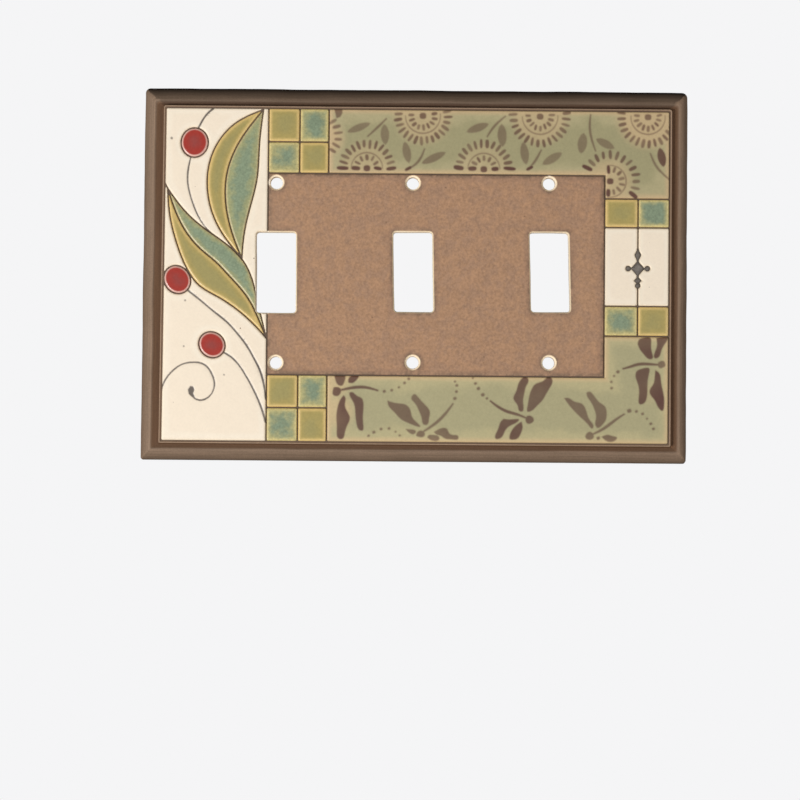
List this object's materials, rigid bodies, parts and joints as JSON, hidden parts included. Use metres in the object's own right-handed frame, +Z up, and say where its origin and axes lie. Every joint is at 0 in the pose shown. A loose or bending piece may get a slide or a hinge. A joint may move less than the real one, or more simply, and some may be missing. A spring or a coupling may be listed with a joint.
{
  "type": "wall plate cover",
  "caption": "Wide glazed stoneware cover plate for a gang of toggle switches, with countersunk screw holes, a hollow back and a picture in glaze cells inside a rounded border.",
  "frame": {"origin": "centre of the six screw holes, on the plane where the plate's back land meets the wall", "axes": "+X along the plate's width to the right seen from the front, +Y into the wall, +Z up; the decorated face looks along -Y"},
  "size_m": [0.1852, 0.0095, 0.1264],
  "materials": {
    "stoneware_clay": "bare fired clay, satin",
    "cream_glaze": "gloss glaze with faint specks",
    "red_glaze": "gloss glaze",
    "sage_glaze": "satin glaze over brown brushwork",
    "brown_matte_glaze": "matte glaze",
    "iron_slip": "matte slip",
    "olive_glaze": "gloss glaze",
    "teal_glaze": "gloss glaze"
  },
  "bodies": {
    "root": {"berry_left": "red_glaze", "berry_low": "red_glaze", "berry_top": "red_glaze", "brown_field": "brown_matte_glaze", "clay_plate": "stoneware_clay", "cream_column_left": "cream_glaze", "cream_column_right": "cream_glaze", "cream_ground_high": "cream_glaze", "cream_ground_low": "cream_glaze", "cream_ground_side": "cream_glaze", "cream_ground_sliver": "cream_glaze", "cream_ground_strip": "cream_glaze", "finial": "iron_slip", "lower_leaf_bottom": "olive_glaze", "lower_leaf_tip": "teal_glaze", "lower_leaf_top": "teal_glaze", "mosaic_bottom_high_left": "olive_glaze", "mosaic_bottom_high_right": "teal_glaze", "mosaic_bottom_low_left": "teal_glaze", "mosaic_bottom_low_right": "olive_glaze", "mosaic_top_high_left": "olive_glaze", "mosaic_top_high_right": "teal_glaze", "mosaic_top_low_left": "teal_glaze", "mosaic_top_low_right": "olive_glaze", "sage_band_bottom": "sage_glaze", "sage_band_top": "sage_glaze", "tile_lower_left": "teal_glaze", "tile_lower_right": "olive_glaze", "tile_upper_left": "olive_glaze", "tile_upper_right": "teal_glaze", "upper_leaf_back": "olive_glaze", "upper_leaf_front": "teal_glaze"}
  },
  "joints": []
}
